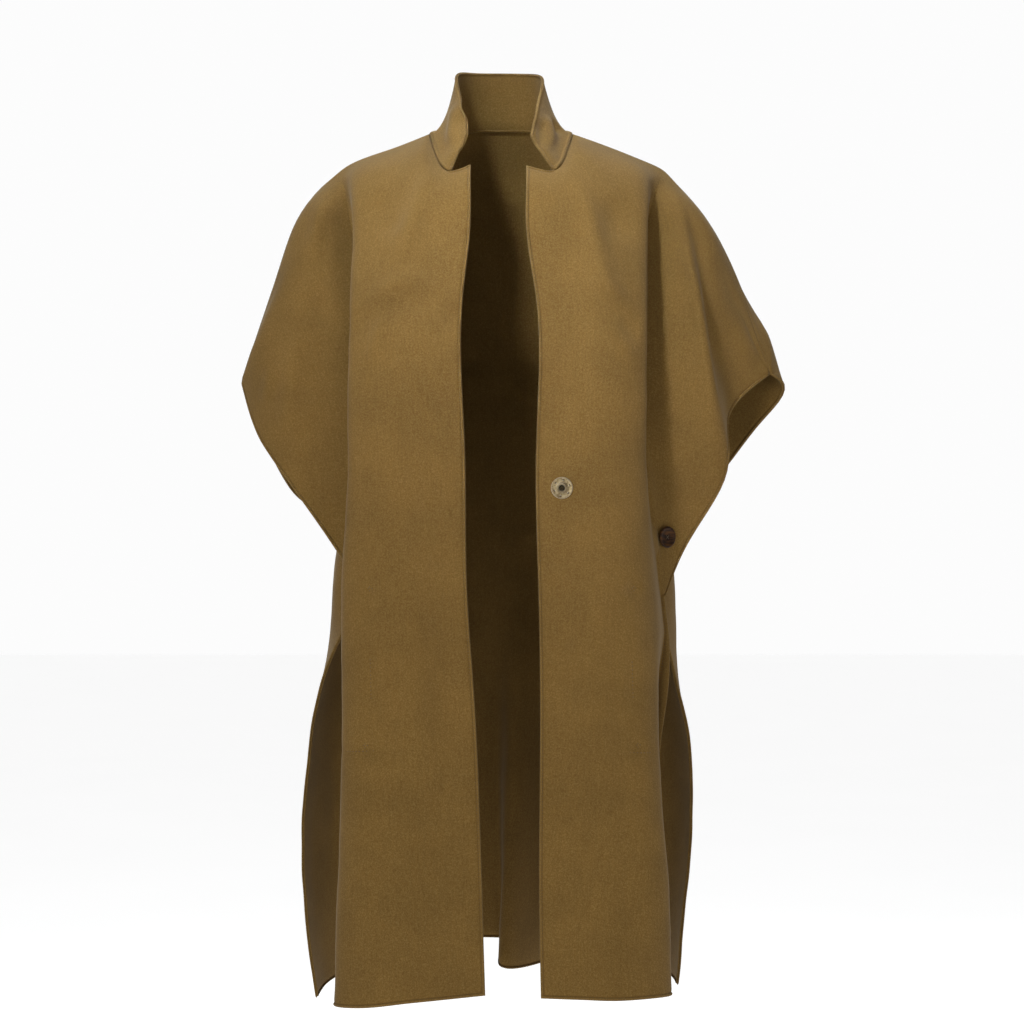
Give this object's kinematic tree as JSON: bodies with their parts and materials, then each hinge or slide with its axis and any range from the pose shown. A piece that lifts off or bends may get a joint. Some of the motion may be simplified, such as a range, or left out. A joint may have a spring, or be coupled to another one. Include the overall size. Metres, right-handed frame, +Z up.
{
  "type": "high collar cape coat",
  "caption": "Olive-brown wool cape coat with a high stand collar, hanging open: wide sleeves cut in one, side buttons, side slits.",
  "frame": {"origin": "middle of the neck hole, level with the neck points where the overarm seams meet the collar; the wearer's neck and shoulders hold the coat there", "axes": "+Z up; -Y the way the wearer faces; +X towards the wearer's left"},
  "size_m": [0.6257, 0.3678, 1.082],
  "materials": {
    "olive_wool": "matte double-faced wool",
    "pocket_cotton": "matte cotton",
    "snap_metal": "antique satin",
    "dark_horn": "polished dark horn look"
  },
  "bodies": {
    "root": {"back": "olive_wool", "front_left": "olive_wool", "front_right": "olive_wool", "collar": "olive_wool", "pocket_bag_left": "pocket_cotton", "pocket_bag_right": "pocket_cotton", "snap_socket": "snap_metal", "snap_ball": "snap_metal", "side_button_left": "dark_horn", "side_button_right": "dark_horn"}
  },
  "joints": []
}
